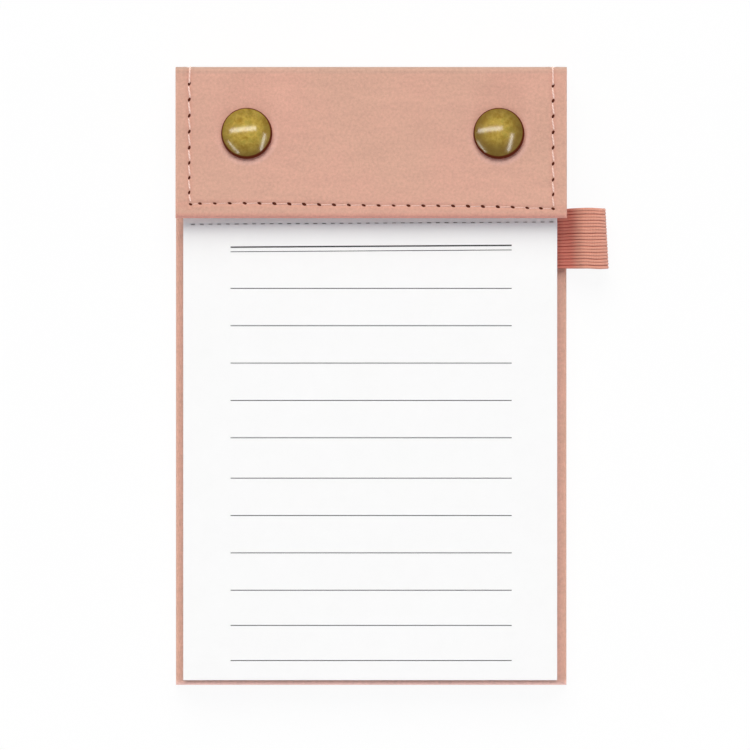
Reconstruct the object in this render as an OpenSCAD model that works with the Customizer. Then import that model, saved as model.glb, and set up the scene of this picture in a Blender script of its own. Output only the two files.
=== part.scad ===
// Refillable memo pad in a turned-edge leather cover. The flap folds over the head of the pad
// and is held by two press studs whose long posts run through the pad. A ribbed elastic pen
// loop is sewn to the right edge. It lies on its back: the origin is on the back face, in the
// middle of the cover, with +Y towards the fold and +Z out of the paper. Millimetres.

/* [Cover] */
// Width of the cover
cover_w = 97.8; // [85:0.1:115]
// Length of the cover from the foot edge to the outside of the spine
cover_l = 154.6; // [140:0.1:180]
// Thickness of the outer leather
leather_t = 0.9; // [0.8:0.05:1.2]
// Thickness of the thinned leather that is turned in over the board's edges
turn_t = 0.4; // [0.3:0.05:0.6]
// Width of the turned-in margin
turn_w = 12; // [9:0.5:16]
// Thickness of the stiffening board in the back
board_t = 1.2; // [1:0.1:2]
// Thickness of the lining
lining_t = 0.6; // [0.4:0.05:0.9]
// Distance from the cover's edge to the lining's edge
lining_inset = 2.5; // [2:0.1:3]
// Distance between the spine's inner face and the end of a board
board_gap = 2.2; // [2:0.1:4]
// Outside radius of the bend at the foot of the spine
foot_r = 2; // [1.5:0.1:2.4]
// Outside radius of the fold between the spine and the flap
fold_r = 1.35; // [1:0.05:1.6]
// Gap across the mitred fold line
fold_gap = 0.1; // [0.05:0.01:0.2]

/* [Flap] */
// Length of the flap from its free edge to the outside of the spine
flap_l = 37.7; // [34:0.1:50]
// Thickness of the stiffening board in the flap
flap_board_t = 0.8; // [0.7:0.1:1.5]
// Height of the flap's lining over the paper
flap_lift = 1.4; // [1.2:0.05:2]

/* [Pad] */
// Strip of the back panel that shows to the left of the pad
left_border = 1.95; // [1:0.05:4]
// Strip of the back panel that shows to the right of the pad
right_border = 2.45; // [1:0.05:4]
// Strip of the back panel that shows below the pad
foot_border = 1.35; // [1:0.05:4]
// Gap between the head of the pad and the spine's lining
head_gap = 0.3; // [0.2:0.05:1]
// Thickness of the backing card
card_t = 0.8; // [0.6:0.1:1.2]
// Thickness of all the sheets together
paper_t = 4.8; // [4:0.1:8]
// Thickness of the glue that binds the head of the pad
glue_t = 0.3; // [0.2:0.05:0.6]
// Length of the stub above the tear-off line
stub_l = 36.5; // [34:0.1:46]
// Distance between the slits of the tear-off line
slit_pitch = 2.17; // [1.8:0.01:3]
// Length of one slit
slit_l = 1.3; // [0.8:0.05:1.5]
// Width of one slit
slit_w = 0.22; // [0.15:0.01:0.4]
// Distance from the pad's side edge to the first slit
slit_inset = 1.3; // [1:0.1:3]

/* [Ruling] */
// Margin to the left of the rules
rule_left = 11.9; // [5:0.1:20]
// Margin to the right of the rules
rule_right = 11.5; // [5:0.1:20]
// Smallest margin below the last rule
rule_foot = 4.5; // [3:0.1:10]
// Width of a thin rule
rule_w = 0.18; // [0.12:0.01:0.5]
// Width of the thick head rule
head_rule_w = 0.31; // [0.2:0.01:0.8]
// Depth of the print in the top sheet
print_t = 0.05; // [0.04:0.01:0.1]
// Distance from the tear-off line to the thick head rule
head_drop = 5.8; // [3:0.1:8]
// Distance from the thick head rule to the thin one below it
head_step = 1.15; // [0.8:0.05:2]
// Slope of the tear-off line and the two head rules, in degrees
head_slope = 0.37; // [0:0.01:0.6]
// Distance from the tear-off line to the first writing rule
first_drop = 16.33; // [12:0.01:20]
// Distance between the writing rules
rule_pitch = 9.34; // [6:0.01:12]
// Rules above the one wider space
upper_n = 5; // [1:1:10]
// Extra height of that wider space
wide_extra = 0.76; // [0:0.01:1]
// Number of closer spaces at the foot
close_n = 2; // [0:1:4]
// How much closer those spaces are
close_less = 0.55; // [0:0.01:1]

/* [Press studs] */
// Distance from the cover's left edge to the left press stud
snap_left = 17.8; // [15:0.05:22]
// Distance from the cover's right edge to the right press stud
snap_right = 17; // [15:0.05:22]
// Distance from the outside of the spine to the press studs
snap_drop = 16.65; // [14:0.05:20]
// Diameter of the domed cap
cap_d = 12.6; // [11:0.1:14]
// Height of the cap over the leather
cap_h = 2.6; // [2.2:0.1:3.2]
// Radius of the cap's rolled rim
rim_r = 0.8; // [0.6:0.05:0.9]
// Thickness of the cap's sheet
cap_t = 0.35; // [0.25:0.05:0.45]
// Diameter of the cap's rivet stem
stem_d = 3.6; // [3:0.1:4]
// Diameter of the flared end of the stem
flare_d = 4.7; // [4.4:0.1:5]
// Length of that flared end
flare_l = 0.3; // [0.2:0.05:0.4]
// Bevel round its tip
flare_bevel = 0.2; // [0.1:0.05:0.3]
// Diameter of the socket's flange
socket_d = 9.6; // [9:0.1:11]
// Diameter of the socket's barrel
barrel_d = 8.4; // [8:0.1:8.8]
// Height of the socket
socket_h = 2; // [1.9:0.05:2.2]
// Height of the socket's mouth over the paper
socket_gap = 0.2; // [0.15:0.05:0.4]
// Height of the lip below the spring ring's groove, and of the bevel round the barrel
socket_lip = 0.3; // [0.2:0.05:0.35]
// Thickness of the socket's web
web_t = 0.4; // [0.3:0.05:0.5]
// Wire diameter of the spring ring in the socket
spring_d = 0.5; // [0.4:0.05:0.6]
// Opening of the spring ring, in degrees
spring_open = 20; // [10:1:40]
// Diameter of the stud's head
head_d = 4.4; // [4:0.1:4.6]
// Height of the stud's head over the paper
head_h = 1.3; // [1.1:0.05:1.35]
// Bevel round the top of the head and of the shank
head_bevel = 0.35; // [0.2:0.05:0.4]
// Height of the head's widest part
head_land = 0.25; // [0.15:0.05:0.3]
// Height of the slope under it
head_slant = 0.2; // [0.1:0.05:0.25]
// Diameter of the neck below the head
neck_d = 3.8; // [3.6:0.1:3.9]
// Diameter of the stud's shank, which runs through the pad
shank_d = 5.5; // [5:0.1:6]
// Depth of the shank's end below the top sheet
shank_drop = 0.1; // [0:0.05:0.3]
// Diameter of the stud's flange
flange_d = 9.6; // [8:0.1:11]
// Thickness of the stud's flange
flange_t = 0.7; // [0.5:0.05:0.8]
// Diameter of the eyelet's head on the back face
eyelet_d = 9; // [8:0.1:10]
// Thickness of the eyelet's head
eyelet_t = 0.5; // [0.4:0.05:0.6]
// Diameter of the eyelet's pin
eyelet_pin_d = 3.1; // [2.8:0.05:3.2]

/* [Pen loop] */
// Width of the elastic along the cover's edge
loop_w = 14.9; // [10:0.1:20]
// How far the elastic's upper edge lies behind the flap's free edge
loop_behind = 2.2; // [0:0.1:4]
// Clear inside diameter of the loop
pen_d = 6.4; // [6:0.1:9]
// How far past the cover's edge the elastic's two layers part
fork_reach = 0.3; // [0.2:0.05:1]
// How far the loop reaches past the cover's edge
loop_reach = 10.2; // [9.8:0.1:15]
// Thickness of the elastic
elastic_t = 0.9; // [0.7:0.05:1.2]
// Thickness of its two sewn-down ends, pressed together under the lining
tail_t = 1; // [0.6:0.05:1.2]
// Length of the sewn-down ends
tail_l = 8; // [5:0.5:8]
// Number of ribs across the elastic
rib_n = 19; // [10:1:24]
// Depth of the grooves between the ribs
rib_h = 0.2; // [0.1:0.05:0.3]
// Width of the grooves between the ribs
rib_gap = 0.26; // [0.15:0.01:0.4]

/* [Stitching] */
// Distance from the cover's edge to the stitches
stitch_inset = 3.3; // [2.8:0.1:4]
// Distance between the stitch holes
stitch_pitch = 3.73; // [3:0.01:5]
// Share of each pitch that is covered by thread
stitch_share = 0.8; // [0.6:0.05:0.9]
// Diameter of the thread
thread_d = 0.5; // [0.4:0.05:0.6]
// Height of the thread over the leather on the flap and the spine
thread_proud = 0.25; // [0.1:0.05:0.3]

/* [Fits] */
// Clearance on each side of the thread in its furrow
thread_gap = 0.1; // [0.05:0.05:0.2]
// Clearance around metal that passes through leather, board or card
pierce_gap = 0.1; // [0.05:0.05:0.3]
// Clearance around the shank in the pad's holes
pad_hole_gap = 0.5; // [0.3:0.05:1]
// Clearance of the eyelet's pin in the stud
pin_gap = 0.05; // [0.03:0.01:0.1]
// Clearance between the end of the eyelet's pin and the bottom of the stud's bore
pin_end_gap = 0.1; // [0.05:0.05:0.3]
// Clearance of the spring ring in the socket's groove
spring_room = 0.1; // [0.05:0.05:0.15]
// Radial clearance between the stud's head and the spring ring
snap_gap = 0.4; // [0.35:0.05:0.5]
// Clearance around the elastic where it lies in its recess
recess_gap = 0.2; // [0.1:0.05:0.4]
// Height of the pen loop over the surface that the back lies on
ground_gap = 0.2; // [0.1:0.05:0.5]

/* [Hidden] */
$fn = 96;
leather_color = [0.85, 0.66, 0.58];
board_color = [0.62, 0.60, 0.56];
thread_color = [0.93, 0.80, 0.74];
brass_color = [0.60, 0.50, 0.28];
cut = 0.5; // how far a cutting shape runs past the face that it cuts
far = 400; // longer than anything here
spine_y = cover_l / 2;
foot_y = -cover_l / 2;
side_x = cover_w / 2;
panel_t = leather_t + board_t + turn_t;
back_t = panel_t + lining_t;
flap_panel_t = leather_t + flap_board_t + turn_t;
flap_t = flap_panel_t + lining_t;
spine_t = leather_t + turn_t;
spine_in = spine_y - spine_t - lining_t;
board_end = spine_y - spine_t - board_gap;
pad_top = back_t + card_t + paper_t;
top = pad_top + flap_lift + flap_t;
flap_y = spine_y - flap_l;
mitre = flap_t + flap_lift / 2;
lining_x = side_x - lining_inset;
pad_head = spine_in - head_gap;
sheet_head = pad_head - glue_t;
pad_foot = foot_y + foot_border;
pad_w = cover_w - left_border - right_border;
pad_shift = (left_border - right_border) / 2;
rule_l = pad_w - rule_left - rule_right;
rule_x = pad_shift + (rule_left - rule_right) / 2;
tear_y = sheet_head - stub_l;
rule_n = 1 + floor((tear_y - first_drop - pad_foot - rule_foot - wide_extra + close_n * close_less)
    / rule_pitch);
snap_y = spine_y - snap_drop;
socket_z = pad_top + socket_gap;
socket_top = socket_z + socket_h;
bore_r = head_d / 2 + snap_gap + spring_d / 2;
loop_r = pen_d / 2 + elastic_t;
loop_x = side_x + loop_reach - loop_r;
loop_z = loop_r + ground_gap;
loop_y = flap_y + loop_behind - loop_w / 2;
neck_x = max(lining_x, pad_shift + pad_w / 2) + recess_gap;
neck_end = side_x + fork_reach;
ramp_x = lining_x + tail_t;
stitch_x = side_x - stitch_inset;
groove_w = thread_d + 2 * thread_gap;

// A point at an angle and a distance from a centre
function polar(c, r, a) = [c[0] + r * cos(a), c[1] + r * sin(a)];
// The angle at which a line from a point touches a circle, on the side given by 1 or -1
function touch(c, r, p, side) =
    let (d = [p[0] - c[0], p[1] - c[1]])
    atan2(d[1], d[0]) + side * acos(r / norm(d));

// Places one copy at each press stud
module at_snap(side) {
    translate([side < 0 ? snap_left - side_x : side_x - snap_right, snap_y, 0]) children();
}

// An outline in Y and Z, drawn along X
module along_x(w) {
    rotate([90, 0, 90]) linear_extrude(w, center = true) children();
}

// An outline in X and Z, drawn along Y
module along_y(l) {
    rotate([90, 0, 0]) linear_extrude(l, center = true) children();
}

// A strip with fully rounded ends, as a turned edge has
module round_strip(w, t) {
    translate([-w / 2 + t / 2, 0]) square([w - t, t]);
    for (side = [-1, 1]) translate([side * (w / 2 - t / 2), t / 2]) circle(d = t);
}

// What a rounded outside corner takes away, with the corner at the origin
module corner_waste(r) {
    difference() {
        translate([-r, -r]) square(r + cut);
        translate([-r, -r]) circle(r);
    }
}

// Everything on the flap's side of the mitred fold
module flap_side(gap) {
    polygon([[spine_y + far, top + far + gap], [spine_y - mitre, top - mitre + gap],
        [spine_y - far, top - mitre + gap], [spine_y - far, top + far]]);
}

// Everything on the spine's side of the mitred fold
module spine_side(gap) {
    polygon([[spine_y + far, top + far - gap], [spine_y - mitre, top - mitre - gap],
        [spine_y - far, top - mitre - gap], [spine_y - far, -far], [spine_y + far, -far]]);
}

// The leather of the back panel and the spine, seen along X
module back_outline() {
    difference() {
        intersection() {
            union() {
                translate([foot_y + panel_t / 2, 0]) square([cover_l - panel_t / 2, panel_t]);
                translate([foot_y + panel_t / 2, panel_t / 2]) circle(d = panel_t);
                translate([spine_y - spine_t, 0]) square([spine_t, top]);
            }
            spine_side(fold_gap / 2);
        }
        translate([spine_y, 0]) mirror([0, 1]) corner_waste(foot_r);
        translate([spine_y, top]) corner_waste(fold_r);
    }
}

// The flap's leather, seen along X
module flap_outline() {
    difference() {
        intersection() {
            translate([0, top - flap_panel_t]) union() {
                translate([flap_y + flap_panel_t / 2, 0])
                    square([flap_l - flap_panel_t / 2, flap_panel_t]);
                translate([flap_y + flap_panel_t / 2, flap_panel_t / 2]) circle(d = flap_panel_t);
            }
            flap_side(fold_gap / 2);
        }
        translate([spine_y, top]) corner_waste(fold_r);
    }
}

// A sheet or board between two heights, given its half width and its ends in Y
module slab(half_w, y0, y1, z0, z1) {
    translate([-half_w, y0, z0]) cube([2 * half_w, y1 - y0, z1 - z0]);
}

// The window that the turned-in margins leave open in the back panel
module back_window(z0, z1) {
    slab(side_x - turn_w, foot_y + turn_w, board_end, z0, z1);
}

// The window that the turned-in margins leave open in the flap
module flap_window(z0, z1) {
    slab(side_x - turn_w, flap_y + turn_w, board_end, z0, z1);
}

// Round holes at both press studs
module snap_holes(d, z0, z1) {
    for (side = [-1, 1]) at_snap(side) translate([0, 0, z0]) cylinder(d = d, h = z1 - z0);
}

// The recess in which the elastic's ends lie under the lining
module tail_recess() {
    translate([0, loop_y, 0]) along_y(loop_w + 2 * recess_gap)
        polygon([[lining_x - tail_l - recess_gap, panel_t - tail_t],
            [lining_x, panel_t - tail_t], [ramp_x, panel_t], [ramp_x, panel_t + cut],
            [lining_x - tail_l - recess_gap, panel_t + cut]]);
}

// The furrow that the stitches draw into the back face and the spine
module back_furrow() {
    for (side = [-1, 1]) translate([side * stitch_x - groove_w / 2, 0, 0]) {
        translate([0, foot_y + stitch_inset - groove_w / 2, -cut])
            cube([groove_w, cover_l - stitch_inset - foot_r, cut + thread_d]);
        translate([0, spine_y - thread_d + thread_proud, foot_r])
            cube([groove_w, thread_d + cut, top - foot_r - fold_r]);
    }
    translate([-stitch_x, foot_y + stitch_inset - groove_w / 2, -cut])
        cube([2 * stitch_x, groove_w, cut + thread_d]);
}

// The furrow that the stitches draw into the flap
module flap_furrow() {
    row_y = flap_y + stitch_inset;
    for (side = [-1, 1])
        translate([side * stitch_x - groove_w / 2, row_y - groove_w / 2,
            top - thread_d + thread_proud])
            cube([groove_w, spine_y - row_y - fold_r, thread_d]);
    translate([-stitch_x, row_y - groove_w / 2, top - thread_d + thread_proud])
        cube([2 * stitch_x, groove_w, thread_d]);
}

// A straight run of stitches along +X from the origin
module stitch_run(length) {
    n = max(1, round(length / stitch_pitch));
    step = length / n;
    for (i = [0 : n - 1])
        translate([(i + 0.5) * step, 0, 0]) rotate([0, 90, 0])
            cylinder(d = thread_d, h = step * stitch_share, center = true, $fn = 24);
}

// Outer leather of the back panel and the spine, one sheet with its edges turned in
module back_leather() {
    color(leather_color) difference() {
        intersection() {
            along_x(cover_w) back_outline();
            union() {
                along_y(far) round_strip(cover_w, panel_t);
                translate([0, spine_y - spine_t, 0]) linear_extrude(top)
                    round_strip(cover_w, spine_t);
            }
        }
        slab(side_x - leather_t, foot_y + leather_t, board_end, leather_t, leather_t + board_t);
        back_window(leather_t, panel_t + cut);
        tail_recess();
        back_furrow();
        snap_holes(eyelet_d + 2 * pierce_gap, -cut, eyelet_t);
        snap_holes(eyelet_pin_d + 2 * pierce_gap, 0, panel_t);
    }
}

// Stiffening board inside the back panel
module back_board() {
    color(board_color) difference() {
        slab(side_x - leather_t, foot_y + leather_t, board_end, leather_t, leather_t + board_t);
        tail_recess();
        snap_holes(eyelet_pin_d + 2 * pierce_gap, 0, panel_t);
    }
}

// Lining of the back panel and the spine, bedded on the board inside the turned-in margins
module back_lining() {
    color(leather_color) difference() {
        union() {
            slab(lining_x, foot_y + lining_inset, spine_y - spine_t, panel_t, back_t);
            back_window(leather_t + board_t, panel_t);
            intersection() {
                slab(lining_x, spine_in, spine_y - spine_t, panel_t, top);
                along_x(cover_w) spine_side(fold_gap / 2);
            }
        }
        snap_holes(eyelet_pin_d + 2 * pierce_gap, 0, top);
    }
}

// Thread along the back panel's edges and up the spine
module back_stitching() {
    row_y = foot_y + stitch_inset;
    color(thread_color) {
        for (side = [-1, 1]) translate([side * stitch_x, 0, 0]) {
            translate([0, row_y, thread_d / 2]) rotate([0, 0, 90])
                stitch_run(cover_l - stitch_inset - foot_r);
            translate([0, spine_y - thread_d / 2 + thread_proud, foot_r]) rotate([0, -90, 0])
                stitch_run(top - foot_r - fold_r);
        }
        translate([-stitch_x, row_y, thread_d / 2]) stitch_run(2 * stitch_x);
    }
}

// Outer leather of the flap, one sheet with its edges turned in
module flap_leather() {
    board_z = top - leather_t - flap_board_t;
    color(leather_color) difference() {
        intersection() {
            along_x(cover_w) flap_outline();
            translate([0, 0, top - flap_panel_t]) along_y(far) round_strip(cover_w, flap_panel_t);
        }
        slab(side_x - leather_t, flap_y + leather_t, board_end, board_z, board_z + flap_board_t);
        flap_window(top - flap_panel_t - cut, board_z + flap_board_t);
        flap_furrow();
        snap_holes(stem_d + 2 * pierce_gap, top - flap_t, top + cut);
        snap_holes(socket_d + 2 * pierce_gap, pad_top, socket_top);
    }
}

// Stiffening board inside the flap
module flap_board() {
    board_z = top - leather_t - flap_board_t;
    color(board_color) difference() {
        slab(side_x - leather_t, flap_y + leather_t, board_end, board_z, board_z + flap_board_t);
        snap_holes(stem_d + 2 * pierce_gap, top - flap_t, top);
        snap_holes(socket_d + 2 * pierce_gap, pad_top, socket_top);
    }
}

// Lining under the flap, bedded on the board inside the turned-in margins
module flap_lining() {
    color(leather_color) difference() {
        intersection() {
            union() {
                slab(lining_x, flap_y + lining_inset, spine_y, top - flap_t, top - flap_panel_t);
                flap_window(top - flap_panel_t, top - flap_panel_t + turn_t);
            }
            along_x(cover_w) flap_side(fold_gap / 2);
        }
        snap_holes(stem_d + 2 * pierce_gap, pad_top, top);
        snap_holes(socket_d + 2 * pierce_gap, pad_top, socket_top);
    }
}

// Thread along the flap's three free edges
module flap_stitching() {
    row_y = flap_y + stitch_inset;
    color(thread_color) translate([0, 0, top - thread_d / 2 + thread_proud]) {
        for (side = [-1, 1])
            translate([side * stitch_x, row_y, 0]) rotate([0, 0, 90])
                stitch_run(spine_y - row_y - fold_r);
        translate([-stitch_x, row_y, 0]) stitch_run(2 * stitch_x);
    }
}

// The tear-off slits, all the way through the sheets
module slits(z0, z1) {
    n = floor((pad_w - 2 * slit_inset) / slit_pitch);
    translate([pad_shift, tear_y, z0]) rotate([0, 0, head_slope])
        for (i = [0 : n - 1])
            translate([(i + 0.5 - n / 2) * slit_pitch - slit_l / 2, -slit_w / 2, 0])
                cube([slit_l, slit_w, z1 - z0]);
}

// How far a writing rule lies below the first one
function rule_step(i) = i * rule_pitch + (i >= upper_n ? wide_extra : 0)
    - max(0, i - (rule_n - 1 - close_n)) * close_less;

// One printed rule, centred on the origin
module rule(w) {
    translate([rule_x - rule_l / 2, -w / 2, pad_top - print_t]) cube([rule_l, w, print_t]);
}

// Grey print on the top sheet: a thick and a thin head rule, then the writing rules
module ruled_lines() {
    color([0.4, 0.4, 0.4]) {
        translate([0, tear_y - head_drop, 0]) rotate([0, 0, head_slope]) {
            rule(head_rule_w);
            translate([0, -head_step, 0]) rule(rule_w);
        }
        for (i = [0 : rule_n - 1]) translate([0, tear_y - first_drop - rule_step(i), 0]) rule(rule_w);
    }
}

// All the sheets as one block, punched for the studs, with the tear-off line through them
module paper_pad() {
    color([0.97, 0.97, 0.96]) difference() {
        translate([pad_shift, 0, 0]) slab(pad_w / 2, pad_foot, sheet_head, back_t + card_t, pad_top);
        snap_holes(shank_d + 2 * pad_hole_gap, back_t, pad_top + cut);
        slits(back_t + card_t - cut, pad_top + cut);
        ruled_lines();
    }
}

// Card under the sheets, cut away around the studs' flanges
module pad_card() {
    color(board_color) difference() {
        translate([pad_shift, 0, 0]) slab(pad_w / 2, pad_foot, sheet_head, back_t, back_t + card_t);
        snap_holes(flange_d + 2 * pad_hole_gap, back_t - cut, pad_top);
    }
}

// Glue along the head of the sheets and the card
module pad_glue() {
    color([0.9, 0.88, 0.84])
        translate([pad_shift, 0, 0]) slab(pad_w / 2, sheet_head, pad_head, back_t, pad_top);
}

// Domed sheet-brass cap with a rolled rim and a hollow back, in one with its rivet stem
module snap_cap() {
    rim_x = cap_d / 2 - rim_r;
    dome_r = (pow(rim_x, 2) + pow(cap_h - rim_r, 2) - pow(rim_r, 2)) / (2 * (cap_h - 2 * rim_r));
    dome_c = [0, cap_h - dome_r];
    rim_c = [rim_x, rim_r];
    join_a = atan2(rim_c[1] - dome_c[1], rim_x);
    stem_end = socket_top - web_t - top;
    inner_a = acos(stem_d / 2 / (dome_r - cap_t));
    color(brass_color) translate([0, 0, top]) rotate_extrude() polygon(concat(
        [for (i = [0 : 12]) polar(dome_c, dome_r, 90 + (join_a - 90) * i / 12)],
        [for (i = [1 : 12]) polar(rim_c, rim_r, join_a + (-90 - join_a) * i / 12)],
        [for (i = [0 : 8]) polar(rim_c, rim_r - cap_t, -90 + (join_a + 90) * i / 8)],
        [for (i = [1 : 12]) polar(dome_c, dome_r - cap_t, join_a + (inner_a - join_a) * i / 12)],
        [[stem_d / 2, stem_end], [flare_d / 2, stem_end],
            [flare_d / 2 - flare_bevel, stem_end - flare_l], [0, stem_end - flare_l]]));
}

// Turned socket under the flap: flange, barrel, web for the stem and a groove for the spring
module snap_socket() {
    mouth_r = bore_r + spring_room;
    flange_z = top - flap_t;
    color(brass_color) difference() {
        rotate_extrude() polygon([[0, socket_z], [barrel_d / 2 - socket_lip, socket_z],
            [barrel_d / 2, socket_z + socket_lip], [barrel_d / 2, flange_z],
            [socket_d / 2, flange_z], [socket_d / 2, socket_top], [0, socket_top]]);
        translate([0, 0, socket_z - cut]) cylinder(r = mouth_r, h = cut + socket_h - web_t);
        translate([0, 0, socket_z + socket_lip])
            cylinder(r = mouth_r + spring_d, h = spring_d + spring_room);
        translate([0, 0, socket_z]) cylinder(d = stem_d + 2 * pin_gap, h = socket_h + cut);
    }
}

// Sprung wire ring that snaps over the stud's head, open by one small gap
module socket_spring() {
    ring_z = socket_z + socket_lip + (spring_room + spring_d) / 2;
    color([0.75, 0.75, 0.74]) translate([0, 0, ring_z]) rotate([0, 0, spring_open / 2])
        rotate_extrude(angle = 360 - spring_open)
            translate([bore_r + spring_d / 4, 0]) circle(d = spring_d);
}

// Turned stud that stands on the back's lining and reaches through the pad
module snap_stud() {
    head_top = pad_top + head_h;
    head_z = head_top - head_bevel - head_land;
    neck_z = pad_top - shank_drop;
    bore_h = (pad_top - back_t) / 2;
    color(brass_color) rotate_extrude() polygon([
        [eyelet_pin_d / 2 + pin_gap, back_t], [flange_d / 2, back_t],
        [flange_d / 2, back_t + flange_t], [shank_d / 2, back_t + flange_t],
        [shank_d / 2, neck_z - head_bevel], [shank_d / 2 - head_bevel, neck_z],
        [neck_d / 2, neck_z], [neck_d / 2, head_z - head_slant], [head_d / 2, head_z],
        [head_d / 2, head_top - head_bevel], [head_d / 2 - head_bevel, head_top],
        [0, head_top], [0, back_t + bore_h], [eyelet_pin_d / 2 + pin_gap, back_t + bore_h]]);
}

// Eyelet set flush into the back face, whose pin is closed inside the stud
module stud_eyelet() {
    pin_top = back_t + (pad_top - back_t) / 2 - pin_end_gap;
    color(brass_color) {
        cylinder(d = eyelet_d, h = eyelet_t);
        cylinder(d = eyelet_pin_d, h = pin_top);
    }
}

// The elastic's path, seen along Y: sewn ends, neck over the margin, and the open loop.
// Its outer face is drawn in by a groove's depth.
module loop_outline(inset) {
    c = [loop_x, loop_z];
    r = loop_r - inset;
    neck_z = panel_t + 2 * elastic_t - inset;
    under_z = panel_t + inset;
    upper = touch(c, r, [neck_end, neck_z], -1);
    lower = touch(c, r, [neck_end, under_z], 1);
    fork = [neck_end, panel_t + elastic_t];
    difference() {
        union() {
            polygon([[neck_x, panel_t], [ramp_x, panel_t], [neck_end, under_z],
                polar(c, r, lower), c, polar(c, r, upper), [neck_end, neck_z], [neck_x, neck_z]]);
            translate(c) circle(r);
        }
        polygon([fork, polar(c, pen_d / 2, touch(c, pen_d / 2, fork, 1)), c,
            polar(c, pen_d / 2, touch(c, pen_d / 2, fork, -1))]);
        translate(c) circle(d = pen_d);
    }
    polygon([[lining_x - tail_l, panel_t - tail_t], [lining_x, panel_t - tail_t],
        [ramp_x, panel_t], [lining_x - tail_l, panel_t]]);
}

// Ribbed elastic pen loop, one strip with both ends sewn down under the lining
module pen_loop() {
    pitch = loop_w / rib_n;
    color([0.85, 0.55, 0.47]) translate([0, loop_y, 0]) difference() {
        along_y(loop_w) loop_outline(0);
        for (i = [1 : rib_n - 1])
            translate([0, i * pitch - loop_w / 2, 0]) along_y(rib_gap) difference() {
                translate([ramp_x + recess_gap / 2, -cut]) square([far, top]);
                loop_outline(rib_h);
            }
    }
}

back_leather();
back_board();
back_lining();
back_stitching();
flap_leather();
flap_board();
flap_lining();
flap_stitching();
pad_card();
paper_pad();
pad_glue();
ruled_lines();
at_snap(-1) snap_cap();  // snap_cap_left
at_snap(1) snap_cap();  // snap_cap_right
at_snap(-1) snap_socket();  // snap_socket_left
at_snap(1) snap_socket();  // snap_socket_right
at_snap(-1) socket_spring();  // socket_spring_left
at_snap(1) socket_spring();  // socket_spring_right
at_snap(-1) snap_stud();  // snap_stud_left
at_snap(1) snap_stud();  // snap_stud_right
at_snap(-1) stud_eyelet();  // stud_eyelet_left
at_snap(1) stud_eyelet();  // stud_eyelet_right
pen_loop();
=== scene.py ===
import math

import bmesh
import bpy
import numpy as np
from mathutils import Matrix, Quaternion, Vector


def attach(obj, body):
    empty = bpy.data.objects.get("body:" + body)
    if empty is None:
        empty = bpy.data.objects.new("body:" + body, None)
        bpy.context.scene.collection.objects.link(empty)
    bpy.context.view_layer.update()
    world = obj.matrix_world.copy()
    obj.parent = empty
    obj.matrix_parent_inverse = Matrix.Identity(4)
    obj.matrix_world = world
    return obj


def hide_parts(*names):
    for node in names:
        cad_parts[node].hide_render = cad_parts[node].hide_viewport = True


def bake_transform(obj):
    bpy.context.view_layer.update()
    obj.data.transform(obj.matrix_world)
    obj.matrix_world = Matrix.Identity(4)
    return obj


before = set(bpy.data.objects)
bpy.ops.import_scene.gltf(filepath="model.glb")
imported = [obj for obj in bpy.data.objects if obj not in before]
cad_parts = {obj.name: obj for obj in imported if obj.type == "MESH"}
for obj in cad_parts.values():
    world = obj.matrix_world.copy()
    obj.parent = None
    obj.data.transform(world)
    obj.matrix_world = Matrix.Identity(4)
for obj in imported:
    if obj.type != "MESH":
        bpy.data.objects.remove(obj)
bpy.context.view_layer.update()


# ---- Back panel: one sheet of dusty pink cowhide over a stiff board, skived thin and
# turned in at its edges. At the pad's head it bends up into the spine.

MM = 0.001
SIDE = 48.9          # half of the cover's width
SPINE = 77.3         # outside of the spine, and with a minus the foot edge
PANEL = 2.5          # thickness of the back panel without its lining
SPINE_T = 1.3        # thickness of the leather where no board lies in it
FOOT_R = 2.0         # outside radius of the bend at the spine's foot
SEAM_Z = 2.6         # height at which the back's mesh ends and the flap's begins
EDGE_R = 0.75        # radius of the panel's rounded edges
STITCH_IN = 3.3      # distance of the stitches from the edge
FURROW = 0.42        # half of the width of the furrow that the thread draws in
FAR = 9              # stands for no seam near
STUDS = ((-31.1, 60.65), (31.9, 60.65))
LEATHER = (0.674, 0.386, 0.288, 1)


def add_node(tree, kind, settings=None, inputs=None):
    """A node with its settings, and then its sockets' values or links, by name or number."""
    made = tree.nodes.new(kind)
    for key, value in (settings or {}).items():
        setattr(made, key, value)
    for key, value in (inputs or {}).items():
        if isinstance(value, bpy.types.NodeSocket):
            tree.links.new(value, made.inputs[key])
        elif isinstance(value, Amount):
            tree.links.new(value.socket, made.inputs[key])
        else:
            made.inputs[key].default_value = value
    return made


class Amount:
    """A number that varies over a surface. Sums on it add Math nodes."""

    def __init__(self, finish, socket):
        self.finish, self.socket = finish, socket

    def __add__(self, other):
        return self.finish.math("ADD", self, other)

    def __sub__(self, other):
        return self.finish.math("SUBTRACT", self, other)

    def __rsub__(self, other):
        return self.finish.math("SUBTRACT", other, self)

    def __mul__(self, other):
        return self.finish.math("MULTIPLY", self, other)

    __radd__ = __add__
    __rmul__ = __mul__


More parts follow.
